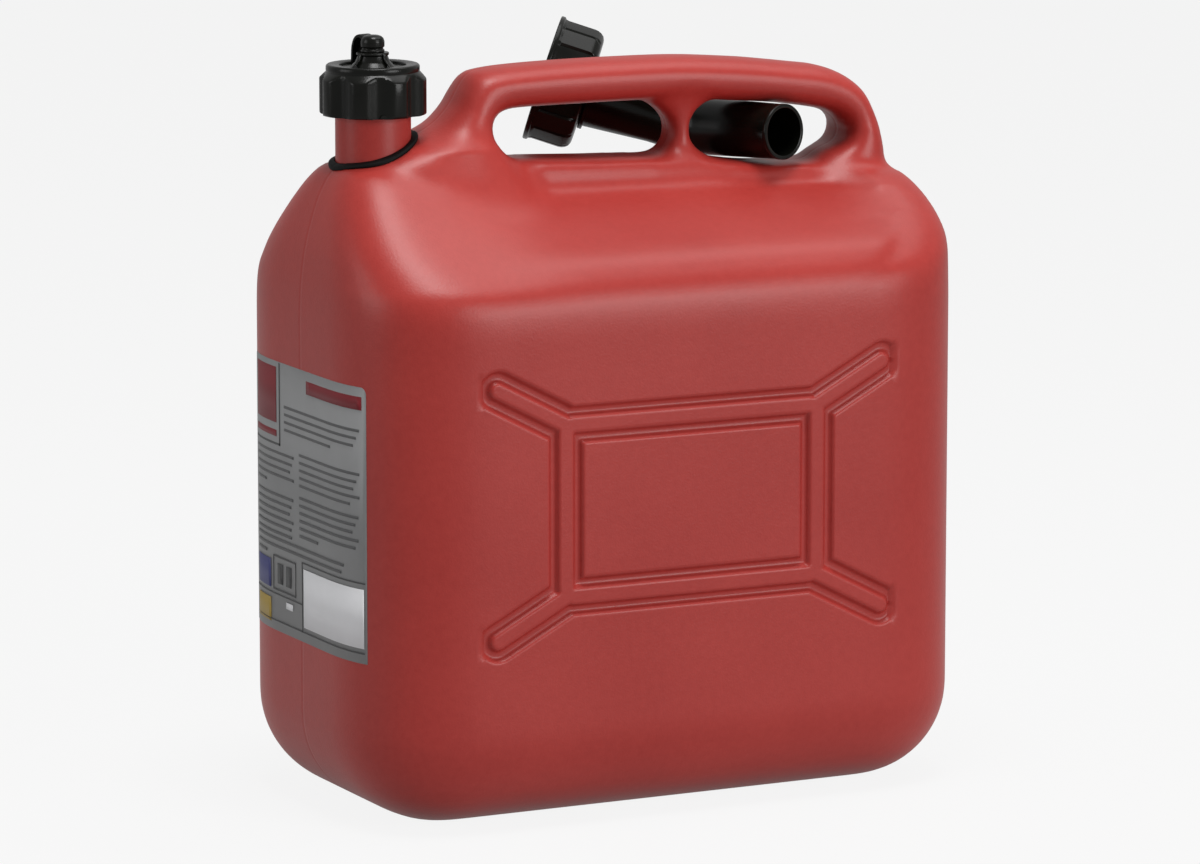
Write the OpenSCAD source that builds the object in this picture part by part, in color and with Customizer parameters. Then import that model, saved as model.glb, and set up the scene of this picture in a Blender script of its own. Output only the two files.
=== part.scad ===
// Twenty litre plastic fuel can with a stowed pouring spout.
// Frame: X along the can with the filler neck at -X, Y across it, Z up.
// The origin is the middle of the flat base.

/* [Can] */
// length of the can along X, mm
can_length = 357; // [320:1:400]
// depth of the can along Y, mm
can_depth = 208; // [190:1:240]
// height at which the upright faces turn in, mm
shoulder_z = 264; // [240:1:290]
// height of the ridge between shoulder and handle, mm
ridge_z = 337; // [325:0.5:360]
// fall of the ridge towards the tail, mm per mm
ridge_fall = 0.06; // [0:0.01:0.08]
// radius of the four upright corners, mm
corner_r = 58; // [35:1:65]
// radius of the rolled edge round the base, mm
base_r = 52; // [30:1:60]
// moulded wall, mm
wall = 2.8; // [2:0.1:4]

/* [Handle] */
// height of the top of the grip over the ridge, mm
grip_rise = 56; // [50:0.5:62]
// thickness of the grip bar, mm
grip_t = 23.6; // [18:0.2:27]
// depth of the grip bar along Y, mm
grip_d = 40; // [32:1:46]
// X of the middle of the post, mm
post_x = 43; // [30:1:55]
// narrowest width of the post, mm
post_w = 10.8; // [9:0.5:18]

/* [Emblem] */
// width of the moulded frame inside its band, mm
frame_w = 141; // [110:1:150]
// height of the moulded frame inside its band, mm
frame_h = 84; // [60:1:90]
// width of the raised band, mm
band_w = 7.6; // [5:0.2:10]
// width of the grooves beside the band, mm
groove_w = 6.6; // [4:0.2:8]
// depth of the grooves, mm
groove_d = 1.8; // [0.8:0.1:2]
// height of the middle of the emblem, mm
emblem_z = 169.5; // [160:0.5:180]
// offset of the emblem along X, mm
emblem_x = 1.5; // [-10:0.5:10]

/* [Neck and cap] */
// distance of the filler axis from the neck end, mm
neck_inset = 43; // [38:0.5:55]
// outside diameter of the filler neck, mm
neck_od = 40; // [36:0.5:44]
// bore of the filler neck, mm
neck_id = 33; // [28:0.5:36]
// height of the neck lip, mm
lip_z = 389; // [380:1:400]
// diameter across the cap lobes, mm
cap_od = 57.4; // [52:0.2:66]
// height of the lobed skirt, mm
skirt_h = 22.5; // [18:0.5:26]
// outside diameter of the cap flange, mm
flange_od = 49.5; // [47:0.5:52]
// opening in the top of the cap nut, mm
cap_open = 35; // [30:0.5:37]
// number of lobes round the cap
cap_lobes = 8; // [5:1:9]
// diameter of the retaining ring round the neck, mm
ring_od = 47.5; // [45:0.5:54]
// radial clearance between neck and nut, mm
nut_gap = 0.4; // [0.2:0.05:0.6]

/* [Vent] */
// diameter of the vent plug head, mm
plug_d = 12.6; // [10:0.2:15]
// height of the vent plug head, mm
plug_h = 9; // [6:0.5:12]
// diameter of the plug stem, mm
stem_d = 8; // [5:0.2:9]
// radial clearance round the plug stem, mm
stem_gap = 0.05; // [0.02:0.01:0.1]

/* [Spout] */
// outside diameter of the spout nut, mm
spout_nut_od = 68; // [60:1:74]
// length of the spout nut, mm
spout_nut_l = 26; // [22:0.5:32]
// tube diameter where it leaves the nut, mm
tube_root_d = 37; // [34:0.5:38]
// tube diameter in the bend, mm
tube_bend_d = 31.2; // [26:0.2:32]
// tube diameter at the open end, mm
tube_end_d = 29.8; // [24:0.2:31]
// tube wall, mm
tube_wall = 2; // [1.5:0.1:3]
// bend of the tube, degrees
tube_bend = 45.6; // [30:0.1:60]
// radius of the bend along the tube axis, mm
bend_r = 45; // [36:1:60]
// straight length before the bend, mm
tube_root_l = 39; // [30:1:50]
// straight length after the bend, mm
tube_end_l = 53; // [40:1:60]
// X of the middle of the nut rim, mm
spout_x = 3.8; // [-6:0.1:14]
// Y of the middle of the nut rim, mm
spout_y = 82.6; // [76:0.1:92]
// Z of the middle of the nut rim, mm
spout_z = 373.4; // [368:0.1:380]
// lean of the spout root from upright, degrees
spout_lean = 107.9; // [95:0.1:120]
// swing of the spout root in plan, degrees
spout_swing = -29.5; // [-45:0.5:-15]
// roll of the bend about the spout root, degrees
spout_roll = -111.6; // [-130:0.2:-90]

/* [Label] */
// width of the side label, mm
label_w = 142; // [100:1:150]
// height of the side label, mm
label_h = 146; // [100:1:160]
// height of the bottom edge of the label, mm
label_z = 91; // [80:1:110]
// thickness of the label, mm
label_t = 0.4; // [0.2:0.1:0.8]

/* [Hidden] */
half_x = can_length / 2;
half_y = can_depth / 2;
rise = ridge_z - shoulder_z;
// profile of the shoulder: height, inset across Y at the ends, inset across Y along the handle,
// inset along X, corner radius and tail corner radius, as shares
shoulder = [
  [0, 0, 0, 0, 1, 1], [0.158, 0.010, 0.010, 0.002, 0.98, 0.98], [0.276, 0.043, 0.044, 0.005, 0.94, 0.90],
  [0.368, 0.110, 0.105, 0.010, 0.87, 0.74], [0.474, 0.207, 0.215, 0.016, 0.76, 0.58],
  [0.605, 0.332, 0.483, 0.029, 0.64, 0.46], [0.737, 0.457, 0.769, 0.048, 0.54, 0.40],
  [0.806, 0.522, 0.915, 0.061, 0.50, 0.39], [0.845, 0.558, 0.966, 0.070, 0.47, 0.38],
  [0.927, 0.644, 0.993, 0.096, 0.41, 0.36], [0.974, 0.712, 1.002, 0.126, 0.37, 0.34],
  [0.993, 0.793, 1.022, 0.168, 0.32, 0.31], [1.010, 0.86, 1.055, 0.195, 0.29, 0.29],
  [1.022, 0.92, 1.11, 0.225, 0.27, 0.27]];
// lift of the ridge along X, over its even fall
ridge_lift = [[-80, 0], [-36, 1], [-12, 1.3], [24, 2.4], [50, 3.1], [70, 0.6], [84, -0.4], [95, -0.4],
  [125, 0.8], [150, 0]];
tail_inset = 0.6;
// grip thickness for which the stations of the handle are written
drawn_grip = 23.6;
// the finger scoops beside the handle: distances of their ends from the neck end and from the tail,
// and the lengths over which they fade
scoop_neck = -61.5;
scoop_tail = 28.5;
neck_fade = 69;
tail_fade = 32;
side_steps = 13;
roll_steps = 7;
corner_steps = 11;
grip_top = ridge_z + grip_rise;
rib_r = 0.6 * band_w;
arm_x = 0.292 * frame_w - band_w / 2;
arm_y = 0.288 * frame_h - band_w / 2;
neck_x = half_x - neck_inset;
neck_r = neck_od / 2;
bore_r = neck_id / 2;
root_z = ridge_z - rise / 4;
ring_t = 3;
seat_rings = 9;
gasket_t = 2;
disc_t = 2.5;
seal_z = lip_z + gasket_t;
disc_top = seal_z + disc_t;
nut_bore_r = neck_r + nut_gap;
web_z = disc_top + 0.1;
cap_top = web_z + 3;
skirt_top = cap_top - 4;
skirt_z = skirt_top - skirt_h;
lobe_r = cap_od / 2;
flute_r = flange_od / 2;
cone_z = disc_top + 1.6;
cone_h = 7.6;
plug_z = cone_z + cone_h + 0.1;
stem_l = 6.5;
strap_w = 7.6;
strap_t = 1.8;
strap_reach = 14.2;
spout_nut_r = spout_nut_od / 2;
end_wall = 3.5;
flange_t = 3;
flange_z = spout_nut_l - end_wall - flange_t - 0.3;
root_r = tube_root_d / 2;
bend_t = tube_bend_d / 2;
end_r = tube_end_d / 2;
seal_t = 2;
lap = 0.06;
label_r = 6;
plastic_red = [0.63, 0.13, 0.12];
plastic_black = [0.07, 0.07, 0.06];
rubber = [0.16, 0.16, 0.16];
foil = [0.55, 0.56, 0.57];

// place along X of a station: less than nothing is measured from the neck end, the rest from the tail
function along(d) = d < 0 ? -half_x - d : half_x - d;

function ease(t) = let (u = max(0, min(1, t))) u * u * (3 - 2 * u);

// share of the finger scoop at one place along X
function scoop(x) = ease((x - along(scoop_neck)) / neck_fade) * ease((along(scoop_tail) - x) / tail_fade);

// outline of one section: half lengths, half depths at the ends and along the handle, corner radii
function ringOf(ex, tx, ey, my, r, rt, n) =
  let (corner = function (q) [for (i = [0 : n])
         let (a = 90 * q + 90 * i / n, tail = q == 0 || q == 3, c = tail ? rt : r)
           [(tail ? tx - c : c - ex) + c * cos(a), (q < 2 ? ey - c : c - ey) + c * sin(a)]],
       side = [for (i = [1 : side_steps])
         let (x = r - ex + (tx - rt + ex - r) * i / (side_steps + 1), w = scoop(x)) [x, ey + (my - ey) * w]])
    concat(corner(0), [for (i = [side_steps - 1 : -1 : 0]) side[i]], corner(1), corner(2),
           [for (p = side) [p[0], -p[1]]], corner(3));

function capped(r, top) = max(0.4, min(r, top));

// sections of the can, grown by g all round
function levels(g, n) = concat(
  [for (i = [0 : roll_steps])
    let (a = 90 * i / roll_steps, inset = base_r * (1 - sin(a)),
         r = max(capped(corner_r - inset + g, half_y), 2), ex = half_x - inset + g, ey = half_y - inset + g)
      [for (p = ringOf(ex, ex, ey, ey, r, r, n)) [p[0], p[1], base_r * (1 - cos(a)) - g]]],
  [for (s = shoulder)
    let (ey = half_y * (1 - s[1]) + g, my = half_y - (half_y - grip_d / 2) * s[2] + g,
         ex = half_x * (1 - s[3]) + g, tx = half_x * (1 - s[3] * tail_inset) + g,
         r = capped(corner_r * s[4] + g, ey - 0.4), rt = capped(corner_r * s[5] + g, ey - 0.4),
         z = shoulder_z + s[0] * rise + g * s[0])
      [for (p = ringOf(ex, tx, ey, my, r, rt, n))
        [p[0], p[1], z + (lookup(p[0], ridge_lift) - ridge_fall * p[0]) * pow(s[0], 4)]]]);

function part(list, first, last) = [for (i = [first : last]) list[i]];

// solid through a list of sections with the same number of points
module loft(sections) {
  n = len(sections[0]);
  m = len(sections);
  polyhedron(
    points = [for (s = sections) for (p = s) p],
    faces = concat(
      [[for (i = [0 : n - 1]) i]],
      [[for (i = [n - 1 : -1 : 0]) (m - 1) * n + i]],
      [for (k = [0 : m - 2]) for (i = [0 : n - 1])
        [k * n + i, (k + 1) * n + i, (k + 1) * n + (i + 1) % n, k * n + (i + 1) % n]]),
    convexity = 6);
}

// stations of the grip: place and drop of the outer side, place and drop of the inner side, half depth share
grip = [
  [-30, 76, -139, 78, 2.55], [-29.5, 48, -128.5, 61, 1.86], [-38.5, 43.6, -124.5, 56.2, 1.82],
  [-50.5, 39.8, -120.5, 51.5, 1.74], [-62.5, 36.4, -116.9, 48.5, 1.62], [-71, 33.4, -113, 45, 1.45],
  [-78.5, 28.9, -109.2, 40.8, 1.28], [-83, 24.6, -107.5, 35.8, 1.18], [-87, 20, -107.9, 30.4, 1.1],
  [-92, 11.2, -111.3, 26.4, 1.04], [-97.5, 4.4, -118.5, 24.2, 1], [-106.5, 2, -127.5, 23.7, 1],
  [-123.5, 0.8, -136.5, 23.6, 1], [-148.5, 0.1, -152.5, 23.6, 1], [171.5, 0, 171.5, 23.6, 1],
  [135.5, 0.7, 136.5, 24.2, 1], [99.5, 3.6, 101.5, 26, 1], [78.5, 6.2, 81.5, 26.8, 1],
  [65.5, 8, 69.5, 28.7, 1], [52.5, 9.9, 58.5, 31, 1], [41.5, 13.3, 48.5, 34, 1],
  [32.5, 18.2, 41.5, 37.8, 1.02], [25.5, 24.4, 37.3, 42.2, 1.06], [21, 32.5, 36.1, 46.6, 1.12],
  [16.5, 43, 37.5, 50.7, 1.22], [13, 57, 42.5, 54.2, 1.4], [12.5, 68, 51.5, 57, 1.55],
  [17.5, 82, 62.5, 68, 1.7]];

function soft(a, n) = [sign(cos(a)) * pow(abs(cos(a)), 2 / n), sign(sin(a)) * pow(abs(sin(a)), 2 / n)];

function gripRings(g, n) = [
  for (s = grip)
    let (ox = along(s[0]), oz = grip_top - s[1],
         ix = along(s[2]), iz = grip_top - (s[3] + grip_t - drawn_grip),
         d = norm([ox - ix, oz - iz]), ux = (ox - ix) / d, uz = (oz - iz) / d,
         h = d / 2 - g, y = grip_d / 2 * s[4] - g)
      [for (i = [0 : n - 1])
        let (e = soft(-360 * i / n, 2.35))
          [(ox + ix) / 2 + ux * h * e[0], y * e[1], (oz + iz) / 2 + uz * h * e[0]]]];

// stations of the post: drop from the grip top, half width share, half depth share
post = [
  [72, 4.6, 1.05], [59, 4.0, 0.95], [55, 2.9, 0.82], [52, 2.15, 0.7], [48.5, 1.4, 0.62], [44.5, 1.08, 0.58],
  [40, 1.0, 0.57], [36, 1.12, 0.57], [32.5, 1.55, 0.59], [29, 2.3, 0.63], [25.5, 3.2, 0.68], [18, 3.8, 0.6]];

function postRings(g, n) = [
  for (s = post)
    [for (i = [0 : n - 1])
      let (e = soft(360 * i / n, 2.5))
        [post_x + (post_w / 2 * s[1] - g) * e[0], (grip_d / 2 * s[2] - g) * e[1], grip_top - s[0]]]];

// frame and its four arms in plan, grown by the given amount
module emblemBand(grow) {
  w = rib_r + grow;
  square([frame_w + 2 * (band_w + grow), frame_h + 2 * (band_w + grow)], center = true);
  for (sx = [-1, 1]) for (sy = [-1, 1])
    translate([sx * (frame_w + band_w) / 2, sy * (frame_h + band_w) / 2])
      rotate(atan2(sy * arm_y, sx * arm_x)) {
        translate([0, -w]) square([norm([arm_x, arm_y]), 2 * w]);
        translate([norm([arm_x, arm_y]), 0]) circle(r = w, $fn = 32);
      }
}

module emblem2d() {
  difference() {
    emblemBand(groove_w);
    emblemBand(0);
  }
  difference() {
    square([frame_w, frame_h], center = true);
    square([frame_w - 2 * groove_w, frame_h - 2 * groove_w], center = true);
  }
}

module canForm() {
  loft(levels(0, corner_steps));
  loft(gripRings(0, 24));
  loft(postRings(0, 20));
}

module emblemCut() {
  for (s = [-1, 1])
    translate([emblem_x, s * (half_y - groove_d), emblem_z]) rotate([90, 0, 0])
      translate([0, 0, s > 0 ? -10 : 0]) linear_extrude(height = 10) emblem2d();
}

// resize to nothing keeps the moulding as one skin for the cuts that follow
module canOuter() {
  resize([0, 0, 0]) difference() {
    canForm();
    emblemCut();
  }
}

module canInner() {
  resize([0, 0, 0]) union() {
    loft(levels(-wall, 7));
    loft(gripRings(wall, 14));
    loft(postRings(wall, 12));
  }
}

module can_body() {
  color(plastic_red) difference() {
    union() {
      canOuter();
      translate([-neck_x, 0, root_z]) cylinder(r = neck_r, h = lip_z - root_z, $fn = 72);
    }
    canInner();
    translate([-neck_x, 0, shoulder_z]) cylinder(r = bore_r, h = lip_z - shoulder_z + wall, $fn = 72);
  }
}

// stuck to the upright part of the narrow face, wrapping a little onto the corners
module side_label() {
  color(foil) intersection() {
    difference() {
      loft(part(levels(label_t, corner_steps), roll_steps, roll_steps + 1));
      loft(part(levels(0, corner_steps), roll_steps, roll_steps + 1));
    }
    translate([-half_x - wall, 0, label_z + label_h / 2]) rotate([90, 0, 90])
      linear_extrude(height = corner_r / 2) offset(r = label_r, $fn = 32)
        square([label_w - 2 * label_r, label_h - 2 * label_r], center = true);
  }
}

// the top of the shoulder and the root of the grip, where the ring lies
module ringSeat() {
  resize([0, 0, 0]) union() {
    loft(part(levels(0, corner_steps), roll_steps + 6, roll_steps + len(shoulder)));
    loft(part(gripRings(0, 24), 0, seat_rings));
  }
}

// soft ring lying on the shoulder round the neck
module neck_ring() {
  color(plastic_black) difference() {
    intersection() {
      translate([-neck_x, 0, shoulder_z]) cylinder(d = ring_od, h = lip_z - shoulder_z, $fn = 64);
      translate([0, 0, ring_t]) ringSeat();
    }
    ringSeat();
    translate([-neck_x, 0, shoulder_z]) cylinder(r = neck_r, h = lip_z - shoulder_z, $fn = 72);
  }
}

module cap_nut() {
  color(plastic_black) translate([-neck_x, 0, 0]) difference() {
    union() {
      rotate_extrude($fn = 96) polygon([
        [0, skirt_z], [flute_r, skirt_z], [flute_r, cap_top - 1], [flute_r - 1, cap_top], [0, cap_top]]);
      difference() {
        rotate_extrude($fn = 96) polygon([
          [0, skirt_z], [lobe_r - 0.8, skirt_z], [lobe_r, skirt_z + 0.8], [lobe_r, skirt_top - 3.4],
          [flute_r, skirt_top], [0, skirt_top]]);
        for (i = [0 : cap_lobes - 1])
          rotate(360 * (i + 0.5) / cap_lobes - 129.5) translate([lobe_r + 5.2, 0, skirt_z - 1])
            cylinder(r = 8, h = skirt_h + 2, $fn = 48);
      }
    }
    translate([0, 0, skirt_z - 1]) cylinder(r = nut_bore_r, h = web_z - skirt_z + 1, $fn = 72);
    translate([0, 0, skirt_z - 1]) cylinder(d = cap_open, h = cap_top - skirt_z + 2, $fn = 72);
  }
}

module cap_disc() {
  color(plastic_black) translate([-neck_x, 0, 0]) difference() {
    union() {
      translate([0, 0, seal_z]) cylinder(r = neck_r - 0.2, h = disc_t, $fn = 72);
      translate([0, 0, disc_top]) cylinder(d = cap_open - 0.8, h = 1.6, $fn = 72);
      translate([0, 0, cone_z]) rotate_extrude($fn = 64) polygon([
        [0, 0], [11.8, 0], [9.2, 2.6], [7.9, cone_h - 1.6], [8.6, cone_h - 1.4], [8.6, cone_h], [0, cone_h]]);
      for (i = [0 : 2])
        rotate(90 * i + 198) translate([0, 0.6, cone_z]) rotate([90, 0, 0])
          linear_extrude(height = 1.2) polygon([
            [6, 0], [14.6, 0], [12, 1.4], [10.4, 4], [9.6, cone_h - 1.6],
            [8.6, cone_h - 0.2], [6, cone_h - 0.2]]);
    }
    translate([0, 0, seal_z - 1]) cylinder(r = stem_d / 2 + stem_gap, h = cone_h + 12, $fn = 48);
    translate([0, 0, seal_z - 1]) cylinder(d = 24, h = 2, $fn = 48);
  }
}

module cap_gasket() {
  color(rubber) translate([-neck_x, 0, lip_z]) difference() {
    cylinder(r = neck_r - 0.2, h = gasket_t, $fn = 72);
    translate([0, 0, -1]) cylinder(r = bore_r + 0.3, h = gasket_t + 2, $fn = 72);
  }
}

module vent_plug() {
  pr = plug_d / 2;
  color(plastic_black) translate([-neck_x, 0, plug_z]) rotate_extrude($fn = 64) polygon([
    [0, -stem_l], [stem_d / 2 - 0.8, -stem_l], [stem_d / 2, -stem_l + 0.8], [stem_d / 2, 0],
    [pr, 0], [pr, 1.2], [pr - 0.7, 1.7], [pr - 0.7, 2.3], [pr, 2.8], [pr, plug_h - 3],
    [pr - 0.4, plug_h - 1.8], [pr - 1.4, plug_h - 0.7], [pr - 3, plug_h - 0.1], [0, plug_h]]);
}

// flat bridge from the plug head down to the disc
module vent_strap() {
  pr = plug_d / 2;
  foot = strap_reach;
  color(plastic_black) translate([-neck_x, 0, 0]) rotate(104)
    translate([0, strap_w / 2, 0]) rotate([90, 0, 0]) linear_extrude(height = strap_w) polygon([
      [pr + 0.05, plug_z + 3.4], [pr + 0.9, plug_z + 4.9], [pr + 2.4, plug_z + 5.8], [pr + 4, plug_z + 5.6],
      [pr + 5.3, plug_z + 4.4], [foot - strap_t, plug_z + 1.4], [foot - strap_t, cone_z],
      [foot, cone_z], [foot, plug_z + 2.2], [pr + 6.9, plug_z + 5.4], [pr + 5, plug_z + 7.2],
      [pr + 2.6, plug_z + 7.7], [pr + 0.4, plug_z + 6.9], [pr + 0.05, plug_z + 5.4]]);
}

module atSpout() {
  translate([spout_x, spout_y, spout_z]) rotate([0, spout_lean, spout_swing])
    rotate([0, 0, spout_roll]) children();
}

module spout_nut() {
  color(plastic_black) atSpout() difference() {
    union() {
      rotate_extrude($fn = 96) polygon([
        [0, 0], [spout_nut_r + 1, 0], [spout_nut_r + 1, 2.4], [spout_nut_r, 3],
        [spout_nut_r, spout_nut_l - 5],
        [spout_nut_r - 1.4, spout_nut_l - 1.6], [spout_nut_r - 4.6, spout_nut_l], [0, spout_nut_l]]);
    }
    for (i = [0 : 11])
      rotate(30 * i + 15) translate([spout_nut_r + 2.4, 0, 4.5]) cylinder(r = 4, h = spout_nut_l, $fn = 32);
    translate([0, 0, -1]) cylinder(r = nut_bore_r, h = spout_nut_l - end_wall + 1, $fn = 72);
    translate([0, 0, -1]) cylinder(r = root_r + 0.4, h = spout_nut_l + 2, $fn = 72);
    translate([0, 0, -1]) rotate_extrude($fn = 72) polygon([
      [nut_bore_r + 3, 0], [spout_nut_r - 4, 0], [spout_nut_r - 4, spout_nut_l - 8],
      [spout_nut_r - 7, spout_nut_l - 4], [nut_bore_r + 3, spout_nut_l - 4]]);
  }
}

module tubeRun(dr, past) {
  zb = spout_nut_l + tube_root_l;
  translate([0, 0, flange_z - past])
    cylinder(r = root_r - dr, h = spout_nut_l + 4 - flange_z + past, $fn = 72);
  translate([0, 0, spout_nut_l + 4])
    cylinder(r1 = root_r - dr, r2 = bend_t - dr, h = tube_root_l - 4, $fn = 72);
  translate([bend_r, 0, zb]) rotate([90, 0, 0])
    rotate_extrude(angle = -tube_bend, start = 180, $fn = 96)
      translate([bend_r, 0]) circle(r = bend_t - dr, $fn = 48);
  translate([bend_r, 0, zb]) rotate([0, tube_bend, 0]) translate([-bend_r, 0, -lap])
    cylinder(r1 = bend_t - dr + lap / 2, r2 = end_r - dr, h = tube_end_l + lap, $fn = 72);
}

module spout_tube() {
  zb = spout_nut_l + tube_root_l;
  color(plastic_black) atSpout() difference() {
    union() {
      tubeRun(0, 0);
      translate([0, 0, flange_z]) cylinder(r = nut_bore_r - 0.3, h = flange_t, $fn = 72);
      translate([0, 0, spout_nut_l + 0.4]) cylinder(r = root_r + 2, h = 2.6, $fn = 72);
    }
    tubeRun(tube_wall, 1);
    translate([bend_r, 0, zb]) rotate([0, tube_bend, 0]) translate([-bend_r, 0, tube_end_l - 0.01])
      cylinder(r = end_r - tube_wall, h = 2, $fn = 72);
  }
}

module spout_seal() {
  color(rubber) atSpout() translate([0, 0, flange_z - seal_t]) difference() {
    cylinder(r = nut_bore_r - 0.3, h = seal_t, $fn = 72);
    translate([0, 0, -1]) cylinder(r = root_r - tube_wall, h = seal_t + 2, $fn = 72);
  }
}

can_body();
side_label();
neck_ring();
cap_nut();
cap_disc();
cap_gasket();
vent_plug();
vent_strap();
spout_nut();
spout_tube();
spout_seal();
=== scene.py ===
import bpy
import bmesh
import math
from mathutils import Matrix, Vector
from mathutils.bvhtree import BVHTree


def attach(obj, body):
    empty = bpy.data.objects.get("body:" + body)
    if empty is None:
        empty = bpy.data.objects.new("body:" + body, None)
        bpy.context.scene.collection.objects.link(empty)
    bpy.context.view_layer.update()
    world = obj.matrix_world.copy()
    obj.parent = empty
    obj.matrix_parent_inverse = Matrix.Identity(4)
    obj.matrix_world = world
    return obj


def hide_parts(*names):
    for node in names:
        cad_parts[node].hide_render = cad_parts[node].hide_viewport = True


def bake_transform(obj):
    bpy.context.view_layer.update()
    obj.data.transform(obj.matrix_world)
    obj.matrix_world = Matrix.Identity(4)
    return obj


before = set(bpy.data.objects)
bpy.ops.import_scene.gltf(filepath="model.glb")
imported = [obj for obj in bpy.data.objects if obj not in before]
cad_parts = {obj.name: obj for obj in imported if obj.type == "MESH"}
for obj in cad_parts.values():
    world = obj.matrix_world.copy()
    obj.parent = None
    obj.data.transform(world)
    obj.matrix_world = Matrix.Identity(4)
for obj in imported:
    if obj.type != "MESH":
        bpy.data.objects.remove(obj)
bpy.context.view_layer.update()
scene = bpy.context.scene
scene.view_settings.view_transform = "Standard"
mm = 0.001


def added(name, data):  # new object in the scene
    thing = bpy.data.objects.new(name, data)
    scene.collection.objects.link(thing)
    return thing


def facing(at, ahead):  # matrix of a camera or lamp that looks ahead
    return Matrix.Translation(at) @ Vector(ahead).to_track_quat("-Z", "Y").to_matrix().to_4x4()


shot = dict(at=(-1.5561, -3.1117, 0.7944), ahead=(0.44018, 0.88143, -0.17122), lens=196.4,
            sensor=36, far=30)
camera = added("camera", bpy.data.cameras.new("camera"))
camera.data.sensor_fit = "HORIZONTAL"
camera.data.sensor_width = shot["sensor"]
camera.data.lens = shot["lens"]
camera.data.clip_end = shot["far"]
camera.matrix_world = facing(shot["at"], shot["ahead"])
scene.camera = camera
print("camera set")


def ease(t):
    u = min(1, max(0, t))
    return u * u * (3 - 2 * u)


def through(rows, steps):  # smooth curve through the rows of a table
    out = []
    for i in range(len(rows) - 1):
        a, b, c, d = rows[max(i - 1, 0)], rows[i], rows[i + 1], rows[min(i + 2, len(rows) - 1)]
        for k in range(steps):
            t = k / steps
            out.append([0.5 * (2 * q + (r - p) * t + (2 * p - 5 * q + 4 * r - s) * t * t
                               + (3 * q - p - 3 * r + s) * t ** 3) for p, q, r, s in zip(a, b, c, d)])
    return out + [list(rows[-1])]


def lookup(x, table):
    if x <= table[0][0]:
        return table[0][1]
    for (a, p), (b, q) in zip(table, table[1:]):
        if x <= b:
            return p + (q - p) * (x - a) / (b - a)
    return table[-1][1]


def softRound(a, n):  # superellipse direction
    c, s = math.cos(a), math.sin(a)
    return math.copysign(abs(c) ** (2 / n), c), math.copysign(abs(s) ** (2 / n), s)


def edgesOf(bm, loop):
    return [bm.edges.get((loop[i], loop[(i + 1) % len(loop)])) for i in range(len(loop))]


def place(verts, points):
    for v, p in zip(verts, points):
        v.co = Vector(p) * mm


def loft(bm, rings, ends="fill"):  # rings of equal length, in mm
    loop = first = bmesh.ops.create_circle(bm, segments=len(rings[0]), radius=1)["verts"]
    place(first, rings[0])
    for ring in rings[1:]:
        geom = bmesh.ops.extrude_edge_only(bm, edges=edgesOf(bm, loop))["geom"]
        fresh = {v for v in geom if isinstance(v, bmesh.types.BMVert)}
        loop = [next(e.other_vert(v) for e in v.link_edges if e.other_vert(v) in fresh) for v in loop]
        place(loop, ring)
    if ends == "fill":
        bmesh.ops.edgeloop_fill(bm, edges=edgesOf(bm, first))
        bmesh.ops.edgeloop_fill(bm, edges=edgesOf(bm, loop))
    if ends == "join":
        bmesh.ops.bridge_loops(bm, edges=edgesOf(bm, first) + edgesOf(bm, loop))
    bmesh.ops.recalc_face_normals(bm, faces=bm.faces)


def turned(bm, profile, steps, at=(0, 0, 0), closed=False):  # (radius, height) in mm, spun about Z
    verts = [bm.verts.new((r * mm, 0, z * mm)) for r, z in profile]
    pairs = list(zip(verts, verts[1:])) + ([(verts[-1], verts[0])] if closed else [])
    edges = [bm.edges.new(p) for p in pairs]
    bmesh.ops.spin(bm, geom=verts + edges, axis=(0, 0, 1), cent=(0, 0, 0), angle=math.tau,
                   steps=steps, use_merge=True)
    bmesh.ops.remove_doubles(bm, verts=bm.verts, dist=1e-6)
    bmesh.ops.recalc_face_normals(bm, faces=bm.faces)
    bmesh.ops.translate(bm, verts=bm.verts, vec=Vector(at) * mm)


def rounded(profile, cut):  # profile with each inner corner softened by a short arc
    out = [profile[0]]
    for a, b, c in zip(profile, profile[1:], profile[2:]):
        p, q, r = Vector(a), Vector(b), Vector(c)
        reach = min(cut, 0.45 * (q - p).length, 0.45 * (r - q).length)
        s, e = q + (p - q).normalized() * reach, q + (r - q).normalized() * reach
        for t in (0, 0.25, 0.5, 0.75, 1):
            out.append(tuple((1 - t) ** 2 * s + 2 * t * (1 - t) * q + t * t * e))
    return out + [profile[-1]]


def flatSeal(bm, inner, outer, low, high, at=(0, 0, 0)):  # flat ring with soft edges
    turned(bm, rounded([(inner, low), (outer, low), (outer, high), (inner, high)], 0.4), 96, at, True)


def meshOf(name, bm):  # the bmesh as mesh data
    mesh = bpy.data.meshes.new(name)
    bm.to_mesh(mesh)
    bm.free()
    return mesh


def join(bm, part):
    bm.from_mesh(meshOf("part", part))


def allOf(bm):
    return bm.verts[:] + bm.edges[:] + bm.faces[:]


def finishPiece(name, bm, body, material, node=None, crease=35):
    for f in bm.faces:
        f.smooth = True
    mesh = meshOf(name, bm)
    mesh.set_sharp_from_angle(angle=math.radians(crease))
    mesh.materials.append(material)
    piece = added(name, mesh)
    if body:
        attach(piece, body)
    if node:
        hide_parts(node)
    print("made", name, len(mesh.polygons), "faces")
    return piece


def baked(thing):  # bmesh of a helper object with its modifiers applied, and the object gone
    shape = thing.evaluated_get(bpy.context.evaluated_depsgraph_get())
    bm = bmesh.new()
    bm.from_mesh(bpy.data.meshes.new_from_object(shape))
    bpy.data.objects.remove(thing)
    return bm


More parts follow.
